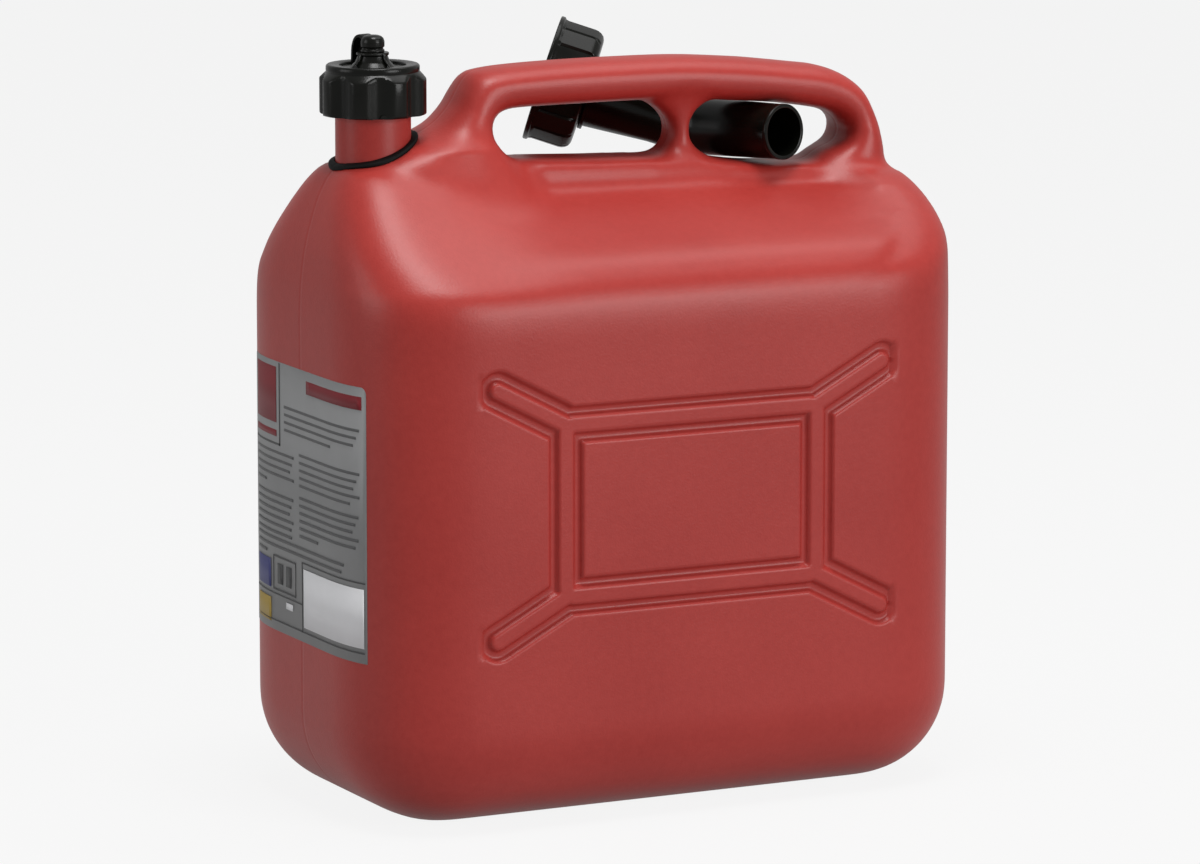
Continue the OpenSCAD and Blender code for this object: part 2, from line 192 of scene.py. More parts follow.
class Skin:  # a material, and the calls that build its nodes
    def __init__(self, name):
        self.material = bpy.data.materials.new(name)
        self.material.use_nodes = True
        self.tree = self.material.node_tree
        self.shader = self.tree.nodes["Principled BSDF"]
        self.coords = self.tree.nodes.new("ShaderNodeTexCoord").outputs["Object"]

    def fill(self, node, **sockets):  # links and constants by the names of sockets
        for key, value in sockets.items():
            socket = node.inputs[key.replace("_", " ")]
            if isinstance(value, bpy.types.NodeSocket):
                self.tree.links.new(value, socket)
            else:
                socket.default_value = value
        return node

    def add(self, kind, **sockets):
        return self.fill(self.tree.nodes.new(kind), **sockets)

    def noise(self, scale, detail, **more):
        made = self.add("ShaderNodeTexNoise", Vector=self.coords, Scale=scale, Detail=detail, **more)
        return made.outputs["Fac"]

    def tint(self, value, dark, light, start=0):  # base colour between two tones
        ramp = self.add("ShaderNodeValToRGB", Fac=value)
        first, last = ramp.color_ramp.elements
        first.position, first.color, last.color = start, dark, light
        self.fill(self.shader, Base_Color=ramp.outputs["Color"])

    def roughen(self, value, low, high):
        level = self.add("ShaderNodeMapRange", Value=value, To_Min=low, To_Max=high)
        self.fill(self.shader, Roughness=level.outputs["Result"])

    def bump(self, height, strength, distance, **below):
        made = self.add("ShaderNodeBump", Height=height, Strength=strength, Distance=distance, **below)
        return made.outputs["Normal"]


redFinish = dict(dark=(0.335, 0.027, 0.022, 1), light=(0.395, 0.038, 0.031, 1), start=0.45,
                 rough=(0.31, 0.42), gloss=0.32, cloud=9, speck=260, speckShare=0.5, grain=820, wave=34)


def redPlastic():
    f = redFinish
    skin = Skin("red moulded plastic")
    cloud = skin.noise(f["cloud"], 4, Roughness=0.55)
    mottle = skin.add("ShaderNodeMath")
    mottle.operation = "MULTIPLY_ADD"
    skin.tree.links.new(skin.noise(f["speck"], 2), mottle.inputs[0])
    mottle.inputs[1].default_value = f["speckShare"]
    skin.tree.links.new(cloud, mottle.inputs[2])
    skin.tint(mottle.outputs["Value"], f["dark"], f["light"], f["start"])
    skin.roughen(cloud, *f["rough"])
    grain = skin.bump(skin.noise(f["grain"], 3, Roughness=0.6), 0.16, 0.0006)
    wave = skin.bump(skin.noise(f["wave"], 2), 0.05, 0.003, Normal=grain)
    skin.fill(skin.shader, Normal=wave, Specular_IOR_Level=f["gloss"])
    return skin.material


blackFinish = dict(dark=(0.0022, 0.0024, 0.0018, 1), light=(0.0046, 0.005, 0.0036, 1),
                   rough=(0.14, 0.3), gloss=0.19, cloud=60, grain=1400)


def blackPlastic():
    f = blackFinish
    skin = Skin("black moulded plastic")
    cloud = skin.noise(f["cloud"], 4)
    skin.tint(cloud, f["dark"], f["light"])
    skin.roughen(cloud, *f["rough"])
    grain = skin.bump(skin.noise(f["grain"], 3), 0.12, 0.0004)
    skin.fill(skin.shader, Normal=grain, Specular_IOR_Level=f["gloss"])
    return skin.material


rubberFinish = dict(dark=(0.003, 0.003, 0.003, 1), light=(0.006, 0.006, 0.0055, 1), rough=0.6,
                    gloss=0.1, cloud=220)


def rubberSkin():
    f = rubberFinish
    skin = Skin("soft black rubber")
    cloud = skin.noise(f["cloud"], 5)
    skin.tint(cloud, f["dark"], f["light"])
    skin.fill(skin.shader, Roughness=f["rough"], Specular_IOR_Level=f["gloss"],
              Normal=skin.bump(cloud, 0.2, 0.0004))
    return skin.material


filmFinish = dict(gloss=0.2, cloud=70, grain=500)


def filmSkin(name, dark, light, rough=0.45):
    f = filmFinish
    skin = Skin(name)
    skin.tint(skin.noise(f["cloud"], 3), dark, light)
    grain = skin.bump(skin.noise(f["grain"], 2), 0.05, 0.0003)
    skin.fill(skin.shader, Roughness=rough, Specular_IOR_Level=f["gloss"], Normal=grain)
    return skin.material


redSkin, blackSkin, softSkin = redPlastic(), blackPlastic(), rubberSkin()
print("finishes mixed")

can = dict(length=357, depth=208, shoulderZ=264, ridgeZ=337, cornerR=58, baseR=52, baseSteps=16,
           fall=0.06, tailInset=0.45, gripTop=393, gripD=40, gripPower=2.35,
           scoop=(-117, 69, 150, 32),  # start, length of the rise, end, length of the fall
           postX=43, postW=10.8, postPower=2.5, rowSteps=5,
           voxel=2.7, fillet=8, rootZ=300, evenPasses=3, rootPasses=6, footPasses=36,
           calm=((-114, -46, 308, 350), (110, 150, 300, 320)), calmY=(15, 66),  # round the grip's feet
           seam=(1.3, 0.22), seamBand=3)  # half width and depth of the parting line, half band cut finer
shoulder = [  # height, inset at the ends, beside the handle and along X, corner and tail corner radius
    (0, 0, 0, 0, 1, 1), (0.158, 0.010, 0.010, 0.002, 0.98, 0.98),
    (0.276, 0.043, 0.044, 0.005, 0.94, 0.90), (0.368, 0.110, 0.105, 0.010, 0.87, 0.74),
    (0.474, 0.207, 0.215, 0.016, 0.76, 0.58), (0.605, 0.332, 0.483, 0.029, 0.64, 0.46),
    (0.737, 0.457, 0.769, 0.048, 0.54, 0.40), (0.806, 0.522, 0.915, 0.061, 0.50, 0.39),
    (0.845, 0.558, 0.966, 0.070, 0.47, 0.38), (0.927, 0.644, 0.993, 0.096, 0.41, 0.36),
    (0.974, 0.712, 1.002, 0.126, 0.37, 0.34), (0.993, 0.793, 1.022, 0.168, 0.32, 0.31),
    (1.010, 0.86, 1.055, 0.195, 0.29, 0.29), (1.022, 0.92, 1.11, 0.225, 0.27, 0.27)]
ridgeLift = [  # X, lift of the ridge over its even fall
    (-80, 0), (-36, 1), (-12, 1.3), (24, 2.4), (50, 3.1), (70, 0.6), (84, -0.4), (95, -0.4),
    (125, 0.8), (150, 0)]
grip = [  # outer X, outer drop, inner X, inner drop, half depth share
    (-148.5, 76, -39.5, 78, 2.55), (-149, 48, -50, 61, 1.86), (-140, 43.6, -54, 56.2, 1.82),
    (-128, 39.8, -58, 51.5, 1.74), (-116, 36.4, -61.6, 48.5, 1.62), (-107.5, 33.4, -65.5, 45, 1.45),
    (-100, 28.9, -69.3, 40.8, 1.28), (-95.5, 24.6, -71, 35.8, 1.18), (-91.5, 20, -70.6, 30.4, 1.1),
    (-86.5, 11.2, -67.2, 26.4, 1.04), (-81, 4.4, -60, 24.2, 1), (-72, 2, -51, 23.7, 1),
    (-55, 0.8, -42, 23.6, 1), (-30, 0.1, -26, 23.6, 1), (7, 0, 7, 23.6, 1), (43, 0.7, 42, 24.2, 1),
    (79, 3.6, 77, 27.2, 1), (100, 6.2, 97, 29, 1), (113, 8, 109, 30.7, 1), (126, 9.9, 120, 32.5, 1),
    (137, 13.3, 130, 34.6, 1), (146, 18.2, 137, 37.8, 1.02), (153, 24.4, 141.2, 42.2, 1.03),
    (157.5, 32.5, 142.4, 46.6, 1.06), (162, 43, 141, 50.7, 1.1), (165.5, 57, 136, 54.2, 1.16),
    (166, 68, 127, 57, 1.22), (161, 82, 116, 68, 1.28)]
post = [  # drop from the grip top, half width share, half depth share
    (72, 4.6, 1.05), (59, 4.0, 0.95), (55, 2.9, 0.82), (52, 2.15, 0.7), (48.5, 1.4, 0.62),
    (44.5, 1.08, 0.58), (40, 1.0, 0.57), (36, 1.12, 0.57), (32.5, 1.55, 0.59), (29, 2.3, 0.63),
    (25.5, 3.2, 0.68), (18, 3.8, 0.6)]
halfX, halfY, halfGrip = can["length"] / 2, can["depth"] / 2, can["gripD"] / 2


def scoopShare(x):
    a, rise, b, fall = can["scoop"]
    return ease((x - a) / rise) * ease((b - x) / fall)


def softCorner(r, room):  # reach and power of an eased corner, as deep as a round one of radius r
    reach = max(r, min(1.3 * r, room))
    return reach, math.log(0.5) / math.log(1 - (1 - math.sqrt(0.5)) * r / reach)


def outline(ex, tx, ey, my, r, rt, corner=24, side=60):  # one level: half lengths, half depths, radii
    (r, power), (rt, tailPower) = softCorner(r, ey - 0.3), softCorner(rt, ey - 0.3)
    arcs = []
    for q in range(4):
        tail = q in (0, 3)
        c, n = (rt, tailPower) if tail else (r, power)
        midX = tx - c if tail else c - ex
        midY = ey - c if q < 2 else c - ey
        bends = [softRound(math.pi / 2 * (q + i / corner), n) for i in range(corner + 1)]
        arcs.append([(midX + c * u, midY + c * v) for u, v in bends])
    span = [r - ex + (tx - rt + ex - r) * i / (side + 1) for i in range(1, side + 1)]
    flank = [(x, ey + (my - ey) * scoopShare(x)) for x in span]
    return arcs[0] + flank[::-1] + arcs[1] + arcs[2] + [(x, -y) for x, y in flank] + arcs[3]


def bodyRings():
    rings = []
    for i in range(can["baseSteps"] + 1):
        a = math.pi / 2 * i / can["baseSteps"]
        inset = can["baseR"] * (1 - math.sin(a))
        r = max(can["cornerR"] - inset, 2)
        level = outline(halfX - inset, halfX - inset, halfY - inset, halfY - inset, r, r)
        rings.append([(x, y, can["baseR"] * (1 - math.cos(a))) for x, y in level])
    for s, inset, mid, along, r, rt in through(shoulder, can["rowSteps"]):
        ey = halfY * (1 - inset)
        level = outline(halfX * (1 - along), halfX * (1 - along * can["tailInset"]),
                        ey, halfY - (halfY - halfGrip) * mid,
                        min(can["cornerR"] * r, ey - 0.4), min(can["cornerR"] * rt, ey - 0.4))
        z = can["shoulderZ"] + s * (can["ridgeZ"] - can["shoulderZ"])
        rings.append([(x, y, z + (lookup(x, ridgeLift) - can["fall"] * x) * s ** 4) for x, y in level])
    return rings


def gripRings(count=48):
    rings = []
    for ox, od, ix, iz, share in through(grip, can["rowSteps"]):
        o, i = Vector((ox, can["gripTop"] - od)), Vector((ix, can["gripTop"] - iz))
        mid, half = (o + i) / 2, (o - i) / 2
        ring = [softRound(-math.tau * k / count, can["gripPower"]) for k in range(count)]
        rings.append([(mid.x + half.x * c, halfGrip * share * s, mid.y + half.y * c) for c, s in ring])
    return rings


def postRings(count=40):
    rings = []
    ring = [softRound(math.tau * k / count, can["postPower"]) for k in range(count)]
    for drop, wide, deep in through(post, can["rowSteps"]):
        rings.append([(can["postX"] + can["postW"] / 2 * wide * c, halfGrip * deep * s,
                       can["gripTop"] - drop) for c, s in ring])
    return rings


def rawShell(rings):
    bm = bmesh.new()
    loft(bm, rings)
    return bm


def skinned(shells):  # one skin round all the shells
    bm = bmesh.new()
    for s in shells:
        join(bm, s)
    raw = added("raw", meshOf("raw", bm))
    skin = raw.modifiers.new("skin", "REMESH")
    skin.mode, skin.voxel_size = "VOXEL", can["voxel"] * mm
    bm = baked(raw)
    print("can skinned", len(bm.faces))
    return bm


def smooth(bm, verts, passes):
    for i in range(passes):
        bmesh.ops.smooth_vert(bm, verts=verts, factor=0.5,
                              use_axis_x=True, use_axis_y=True, use_axis_z=True)


def settle(bm, trees):
    near = []
    for v in bm.verts:  # close to two shells at once: the roots of the grip and the post
        if v.co.z > can["rootZ"] * mm:
            gaps = sorted(t.find_nearest(v.co)[3] for t in trees)
            if gaps[1] < can["fillet"] * mm:
                near.append(v)
    smooth(bm, bm.verts, can["evenPasses"])
    smooth(bm, near, can["rootPasses"])
    lowY, highY = can["calmY"]
    feet = [v for v in bm.verts if lowY < abs(v.co.y) / mm < highY
            and any(a < v.co.x / mm < b and c < v.co.z / mm < d for a, b, c, d in can["calm"])]
    smooth(bm, feet, can["footPasses"])  # the grip's feet run out into the slopes


def refine(bm, faces):
    edges = list(dict.fromkeys(e for f in faces for e in f.edges))
    bmesh.ops.subdivide_edges(bm, edges=edges, cuts=2, use_grid_fill=True)


emblem = dict(x=0.7, z=169.5, wide=141, high=84, band=7.2, rib=3.3, armWide=0.303, armHigh=0.288,
              armGroove=8, groove=6.8, depth=3, wall=2.3, corner=5, skin=0.6, margin=2.5)


def bandGap(x, z):  # distance from the edge of the raised band and its four arms, in mm
    e = emblem
    px, pz = abs(x - e["x"]), abs(z - e["z"])
    hx, hz = (e["wide"] + e["band"]) / 2, (e["high"] + e["band"]) / 2
    qx, qz = px - hx + e["corner"], pz - hz + e["corner"]
    box = math.hypot(max(qx, 0), max(qz, 0)) + min(max(qx, qz), 0) - e["corner"]
    arm = Vector((e["armWide"] * e["wide"] - e["band"] / 2, e["armHigh"] * e["high"] - e["band"] / 2))
    p = Vector((px - hx, pz - hz))
    t = min(1, max(0, p.dot(arm) / arm.length_squared))
    armGap = ((p - arm * t).length - e["rib"]) * e["groove"] / e["armGroove"]
    return min(abs(box) - e["band"] / 2, armGap)


def grooveDepth(gap):
    e = emblem
    return e["depth"] * ease(gap / e["wall"]) * ease((e["groove"] - gap) / e["wall"])


def emboss(bm):
    low, high = -emblem["margin"], emblem["groove"] + emblem["margin"]
    for side in (-1, 1):
        face = (halfY - emblem["skin"]) * mm
        panel = []
        for f in bm.faces:
            mid = f.calc_center_median()
            if mid.y * side > face and low < bandGap(mid.x / mm, mid.z / mm) < high:
                panel.append(f)
        refine(bm, panel)
        for v in bm.verts:
            if v.co.y * side > face:
                v.co.y -= side * grooveDepth(bandGap(v.co.x / mm, v.co.z / mm)) * mm


def partingLine(bm):
    half, deep = can["seam"]
    refine(bm, [f for f in bm.faces if abs(f.calc_center_median().y) < can["seamBand"] * mm])
    bm.normal_update()
    for v in bm.verts:
        v.co -= v.normal * deep * max(0, 1 - abs(v.co.y) / (half * mm)) * mm


neck = dict(x=-135.5, outer=20, bore=16.5, lip=389, foot=332, floor=300, sole=3, sleeve=19, sink=6,
            drillR=18.3, drillL=160, drillUnder=4)


def drilled(bm):  # the well that the neck's tube stands in
    n = neck
    blank = added("blank", meshOf("blank", bm))
    bit = bmesh.new()
    middle = n["floor"] - n["drillUnder"] + n["drillL"] / 2
    bmesh.ops.create_cone(bit, cap_ends=True, segments=64, radius1=n["drillR"] * mm,
                          radius2=n["drillR"] * mm, depth=n["drillL"] * mm,
                          matrix=Matrix.Translation((n["x"] * mm, 0, middle * mm)))
    cutter = added("cutter", meshOf("cutter", bit))
    well = blank.modifiers.new("well", "BOOLEAN")
    well.operation, well.solver, well.object = "DIFFERENCE", "EXACT", cutter
    bm = baked(blank)
    bpy.data.objects.remove(cutter)
    return bm


def neckTube(bm):
    n = neck
    tube = bmesh.new()
    under = n["floor"] - n["sole"]
    wall = [(n["outer"], n["foot"] + 1), (n["outer"], n["lip"]), (n["bore"], n["lip"]),
            (n["bore"], n["floor"])]
    turned(tube, [(0, under), (n["sleeve"], under), (n["sleeve"], n["foot"] - n["sink"]),
                  (n["outer"], n["foot"])] + rounded(wall, 0.7) + [(0, n["floor"])], 96, (n["x"], 0, 0))
    join(bm, tube)


screw = dict(pitch=6.5, top=384, turns=2, steps=48, fade=8, sides=8, sunk=0.2, high=0.55, back=0.1,
             half=1.1)


def thread(bm):  # a rounded thread, hidden until the cap is off
    t = screw
    rings = []
    count = t["steps"] * t["turns"]
    for i in range(count + 1):
        a = math.tau * i / t["steps"]
        z = t["top"] - t["pitch"] * i / t["steps"]
        fade = ease(i / t["fade"]) * ease((count - i) / t["fade"])
        c, s = math.cos(a), math.sin(a)
        ring = []
        for k in range(t["sides"]):
            u, w = math.cos(math.tau * k / t["sides"]), math.sin(math.tau * k / t["sides"])
            r = neck["outer"] - t["sunk"] + t["high"] * fade * max(0, u) + t["back"] * min(0, u)
            ring.append((neck["x"] + r * c, r * s, z + t["half"] * w))
        rings.append(ring)
    loft(bm, rings)


def makeCan():
    shells = [rawShell(rings) for rings in (bodyRings(), gripRings(), postRings())]
    trees = [BVHTree.FromBMesh(s) for s in shells]
    bm = skinned(shells)
    settle(bm, trees)
    emboss(bm)
    partingLine(bm)
    bm = drilled(bm)
    skinTree = BVHTree.FromBMesh(bm)
    neckTube(bm)
    thread(bm)
    finishPiece("can_shell", bm, "can", redSkin, "can_body", 60)
    return skinTree


canTree = makeCan()


label = dict(wide=142, high=146, low=91, lift=0.12, thick=0.24, corner=4, inkLift=0.37, inkThick=0.02,
             step=4, lineGap=4.1, halfLine=0.75)
film = ("grey label film", (0.23, 0.232, 0.234, 1), (0.26, 0.262, 0.265, 1), 0.42)
inks = dict(red=("dull red ink", (0.17, 0.014, 0.02, 1), (0.2, 0.02, 0.026, 1)),
            pale=("pale ink", (0.74, 0.74, 0.76, 1), (0.8, 0.8, 0.82, 1)),
            dark=("dark grey ink", (0.06, 0.061, 0.062, 1), (0.08, 0.081, 0.082, 1)),
            blue=("dull blue ink", (0.05, 0.055, 0.17, 1), (0.06, 0.065, 0.19, 1)),
            ochre=("ochre ink", (0.36, 0.25, 0.06, 1), (0.41, 0.29, 0.07, 1)),
            rules=("grey rule ink", (0.095, 0.096, 0.098, 1), (0.115, 0.116, 0.118, 1)))
prints = dict(  # low and high edge across, low and high edge up, in mm from the label's middle and foot
    red=[(31, 63, 113, 143), (31, 63, 105.5, 109), (-68, -8, 134, 141)],
    pale=[(-69, -3, 8, 39.5), (11, 20, 14, 17.5)],
    dark=[(26.3, 27.7, 101, 145.5), (26.3, 66, 101, 102.2), (-69.5, 66, 5, 5.8), (-1, 66, 19.6, 20.4),
          (-1.8, -0.8, 5, 43), (-70, -0.8, 42.2, 43), (7, 8, 23, 40), (36, 37, 23, 40), (7, 37, 22, 23),
          (7, 37, 40, 41), (13, 20, 26, 37), (24, 31, 26, 37)],
    blue=[(40, 63, 22.5, 38)], ochre=[(40, 63, 4, 17)])
rules = [  # from, to across, height of the first line, number of lines, last line's end
    (21, -66, 123, 4, -38), (2, -66, 100, 5, -58), (2, -65, 77, 6, -22),
    (63, 9, 97, 5, 46), (63, 10, 74, 6, 12), (63, -52, 50, 3, 46)]


def cornerTable():  # length along the narrow face against place and direction
    reach, power = softCorner(can["cornerR"], halfY)
    spots = [Vector((-halfX + reach * (1 - u), halfY - reach + reach * v))
             for u, v in (softRound(math.pi / 2 * i / 120, power) for i in range(100))]
    length, rows = spots[0].y, []
    for a, b in zip(spots, spots[1:]):
        rows.append((length, a, (b - a).normalized()))
        length += (b - a).length
    return rows


faceCurve = cornerTable()


def wrapped(across, up, lift):  # a place on the narrow face, measured along its surface
    run = abs(across)
    spot, ahead = Vector((-halfX, run)), Vector((0, 1))
    for (low, a, one), (high, b, two) in zip(faceCurve, faceCurve[1:]):
        if low <= run < high:
            t = (run - low) / (high - low)
            spot, ahead = a.lerp(b, t), one.lerp(two, t)
    spot += Vector((-ahead.y, ahead.x)) * lift
    return Vector((spot.x, math.copysign(spot.y, across), up)) * mm


def patch(lowA, highA, lowU, highU, corner, lift):
    bm = bmesh.new()
    made = bmesh.ops.create_grid(bm, x_segments=1, y_segments=1, size=0.5)["verts"]
    for v in made:
        v.co = Vector((lowA if v.co.x < 0 else highA, lowU if v.co.y < 0 else highU, 0))
    if corner:
        bmesh.ops.bevel(bm, geom=[v for v in made if v.co.y > lowU], offset=corner,
                        affect="VERTICES", segments=6, profile=0.5, material=-1)
    a = math.ceil(lowA / label["step"]) * label["step"]
    while a < highA:
        bmesh.ops.bisect_plane(bm, geom=allOf(bm), plane_co=(a, 0, 0), plane_no=(1, 0, 0))
        a += label["step"]
    for v in bm.verts:
        v.co = wrapped(v.co.x, v.co.y + label["low"], lift)
    return bm


def thicken(piece, thick):
    wall = piece.modifiers.new("film", "SOLIDIFY")
    wall.thickness, wall.offset = thick * mm, 1


def inked(tone, boxes):
    bm = bmesh.new()
    for box in boxes:
        join(bm, patch(*box, 0, label["inkLift"]))
    piece = finishPiece("label_ink_" + tone, bm, "can", filmSkin(*inks[tone]))
    thicken(piece, label["inkThick"])


def makeLabel():
    for tone, boxes in prints.items():
        inked(tone, boxes)
    lines = []
    for start, end, top, count, last in rules:
        for i in range(count):
            stop = last if i == count - 1 else end + 5 * ((i * 7) % 3) / 2  # ragged ends
            z = top - label["lineGap"] * i
            lines.append((min(start, stop), max(start, stop), z - label["halfLine"], z + label["halfLine"]))
    inked("rules", lines)
    half = label["wide"] / 2
    bm = patch(-half, half, 0, label["high"], label["corner"], label["lift"])
    piece = finishPiece("label_film", bm, "can", filmSkin(*film), "side_label")
    thicken(piece, label["thick"])


makeLabel()


cap = dict(x=-135.5, lobe=28.7, flange=24.75, skirtLow=370.1, skirtTop=392.6, top=396.6, open=17.5,
           web=393.6, bore=20.4, lobes=8, first=-129.5, scallop=8, reach=4.5, crestPasses=8,
           lugTurn=-102, lug=2.5, lugL=3, lugAt=25.2)


def skirtRadius(a):
    c = cap
    best = c["lobe"]
    for i in range(c["lobes"]):
        d = a - math.radians(360 * (i + 0.5) / c["lobes"] + c["first"])
        d = (d + math.pi) % math.tau - math.pi
        far = (c["lobe"] + c["reach"]) * math.sin(d)
        if abs(d) < 1 and abs(far) < c["scallop"]:
            r = (c["lobe"] + c["reach"]) * math.cos(d) - math.sqrt(c["scallop"] ** 2 - far * far)
            best = min(best, r)
    return max(best, c["flange"])


def thumbMark():  # half-round mark at the foot of one scallop
    c = cap
    lug = bmesh.new()
    bmesh.ops.create_cone(lug, cap_ends=True, segments=32, radius1=c["lug"] * mm,
                          radius2=(c["lug"] - 0.5) * mm, depth=c["lugL"] * mm,
                          matrix=Matrix.Rotation(math.pi / 2, 4, "Y"))
    bmesh.ops.bisect_plane(lug, geom=allOf(lug), plane_co=(0, 0, 0), plane_no=(0, 0, -1), clear_outer=True)
    bmesh.ops.holes_fill(lug, edges=[e for e in lug.edges if e.is_boundary])
    spot = Matrix.Translation((c["lugAt"] * mm, 0, (c["skirtLow"] + 0.3) * mm))
    spot = Matrix.Rotation(math.radians(c["lugTurn"]), 4, "Z") @ spot
    bmesh.ops.transform(lug, matrix=Matrix.Translation((c["x"] * mm, 0, 0)) @ spot, verts=lug.verts)
    bmesh.ops.recalc_face_normals(lug, faces=lug.faces)
    return lug


def makeCapNut(count=192):
    c = cap
    angles = [math.tau * k / count for k in range(count)]
    skirt = [skirtRadius(a) for a in angles]
    for i in range(c["crestPasses"]):  # soften the crests between lobe and scallop
        skirt = [(skirt[k - 1] + 2 * skirt[k] + skirt[(k + 1) % count]) / 4 for k in range(count)]
    low, high, top, web = c["skirtLow"], c["skirtTop"], c["top"], c["web"]
    lobe, flange, gap, bore = c["lobe"], c["flange"], c["open"], c["bore"]
    steps = [(low, lobe - 1.4), (low + 0.25, lobe - 0.7), (low + 0.8, lobe - 0.2), (low + 2, lobe),
             (high - 10, lobe), (high - 4.2, lobe), (high - 3.6, lobe - 0.2), (high - 3, lobe - 0.7),
             (high - 1.6, lobe - 2.1), (high - 0.5, lobe - 3.3), (high - 0.1, lobe - 3.8)]
    rim = [(flange - 0.15, high + 0.3), (flange, high + 0.8), (flange, top - 1.3),
           (flange - 0.25, top - 0.6), (flange - 0.85, top - 0.1), (flange - 1.55, top),
           (gap + 0.7, top - 0.25), (gap + 0.2, top - 0.5), (gap, top - 1), (gap, web + 0.1),
           (gap + 0.2, web), (bore - 0.2, web), (bore, web - 0.2), (bore, low + 0.5), (bore + 0.4, low)]
    levels = [(z, [min(r, limit) for r in skirt]) for z, limit in steps]
    levels += [(z, [r] * count) for r, z in rim]
    bm = bmesh.new()
    loft(bm, [[(c["x"] + r * math.cos(a), r * math.sin(a), z) for a, r in zip(angles, radii)]
              for z, radii in levels], "join")
    join(bm, thumbMark())
    finishPiece("cap_lobed_nut", bm, "cap_ring", blackSkin, "cap_nut", 40)


makeCapNut()


insert = dict(sealZ=391, top=393.5, rim=17.1, outer=19.8, bore=4.05, cone=395.1, coneH=7.6, sealBore=16.8,
              fins=3, finTurn=198, finStep=90, finThick=1.3, finEdge=0.22)
finShape = [  # radius, height over the cone's foot
    (7, -0.5), (14.4, -0.5), (14.4, 0.4), (12, 1.5), (10.4, 4), (9.9, 6.4), (8.6, 7.3), (7, 7.3)]


def finAt(angle):
    d = insert
    fin = bmesh.new()
    made = [fin.verts.new((r * mm, 0, (d["cone"] + h) * mm)) for r, h in finShape]
    flat = bmesh.ops.contextual_create(fin, geom=made)["faces"]
    up = bmesh.ops.extrude_face_region(fin, geom=flat)["geom"]
    fresh = [v for v in up if isinstance(v, bmesh.types.BMVert)]
    bmesh.ops.translate(fin, verts=fresh, vec=(0, d["finThick"] * mm, 0))
    bmesh.ops.translate(fin, verts=fin.verts, vec=(0, -d["finThick"] / 2 * mm, 0))
    bmesh.ops.bevel(fin, geom=fin.edges[:], offset=d["finEdge"] * mm, affect="EDGES", segments=2,
                    profile=0.5, material=-1)
    bmesh.ops.recalc_face_normals(fin, faces=fin.faces)
    bmesh.ops.rotate(fin, verts=fin.verts, cent=(0, 0, 0),
                     matrix=Matrix.Rotation(math.radians(angle), 3, "Z"))
    bmesh.ops.translate(fin, verts=fin.verts, vec=(cap["x"] * mm, 0, 0))
    return fin


def makeCapInsert():
    d = insert
    z, end, wide, bore = d["cone"], d["cone"] + d["coneH"], d["outer"], d["bore"]
    cone = [(wide, d["sealZ"]), (wide, d["top"]), (d["rim"], d["top"]), (d["rim"], z), (11.8, z),
            (9.2, z + 2.6), (7.9, z + 5.9), (8.6, z + 6.2), (8.6, end), (bore, end)]
    bm = bmesh.new()
    turned(bm, [(bore, end), (bore, d["sealZ"]), (wide - 0.1, d["sealZ"])] + rounded(cone, 0.35), 96,
           (cap["x"], 0, 0), True)
    for i in range(d["fins"]):
        join(bm, finAt(d["finStep"] * i + d["finTurn"]))
    finishPiece("cap_insert_disc", bm, "cap_insert", blackSkin, "cap_disc", 40)
    bm = bmesh.new()
    flatSeal(bm, d["sealBore"], wide, neck["lip"], d["sealZ"], (cap["x"], 0, 0))
    finishPiece("cap_seal_ring", bm, "cap_insert", softSkin, "cap_gasket")


makeCapInsert()


plug = dict(z=402.8, r=6.3, stemR=4, stemL=6.5, high=9)


def makeVentPlug():
    p, r, stem = plug["z"], plug["r"], plug["stemR"]
    foot = p - plug["stemL"]
    head = [(stem - 0.8, foot), (stem, foot + 0.8), (stem, p), (r, p), (r, p + 1.2), (r - 0.7, p + 1.7),
            (r - 0.7, p + 2.3), (r, p + 2.8), (r, p + 5.6), (r - 0.5, p + 7.2), (r - 1.5, p + 8.2),
            (r - 3.1, p + 8.8)]
    bm = bmesh.new()
    turned(bm, [(0, foot)] + rounded(head, 0.4) + [(0, p + plug["high"])], 72, (cap["x"], 0, 0))
    finishPiece("vent_plug_head", bm, "vent", blackSkin, "vent_plug", 40)


makeVentPlug()


bridge = dict(turn=104, half=0.95, wide=3.8, sides=16, power=5, foot=13.3)


def makeVentStrap():
    d, g, p = insert, bridge, plug["z"]
    path = through([(4.2, p + 7.0), (6.4, p + 7.9), (8.6, p + 7.7), (10.6, p + 6.4), (12, p + 4),
                    (12.9, p + 0.4), (13.2, d["cone"] - 0.3)], 6)
    side = Matrix.Rotation(math.radians(g["turn"]), 3, "Z")
    rings = []
    for i, q in enumerate(path):
        a, b = Vector(path[max(i - 1, 0)]), Vector(path[min(i + 1, len(path) - 1)])
        n = Vector((-(b - a).y, (b - a).x)).normalized() * g["half"]
        ring = []
        for k in range(g["sides"]):
            c, s = softRound(math.tau * k / g["sides"], g["power"])
            point = side @ Vector((q[0] + n.x * s, g["wide"] * c, q[1] + n.y * s))
            ring.append((point.x + cap["x"], point.y, point.z))
        rings.append(ring)
    bm = bmesh.new()
    loft(bm, rings)
    strap = finishPiece("vent_strap_bridge", bm, None, blackSkin, "vent_strap", 40)
    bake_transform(strap)


makeVentStrap()


collar = dict(inner=20.1, outer=23.7, thick=2.2, sides=14, power=4, lift=0.1, dropZ=372, clear=20.5)


def onCan(x, y):  # height of the can's skin beside the neck
    spot = Vector((x, y, collar["dropZ"] * mm))
    away = Vector((x - neck["x"] * mm, y, 0))
    if away.length < collar["clear"] * mm:
        spot += away.normalized() * (collar["clear"] * mm - away.length)
    return canTree.ray_cast(spot, Vector((0, 0, -1)))[0].z


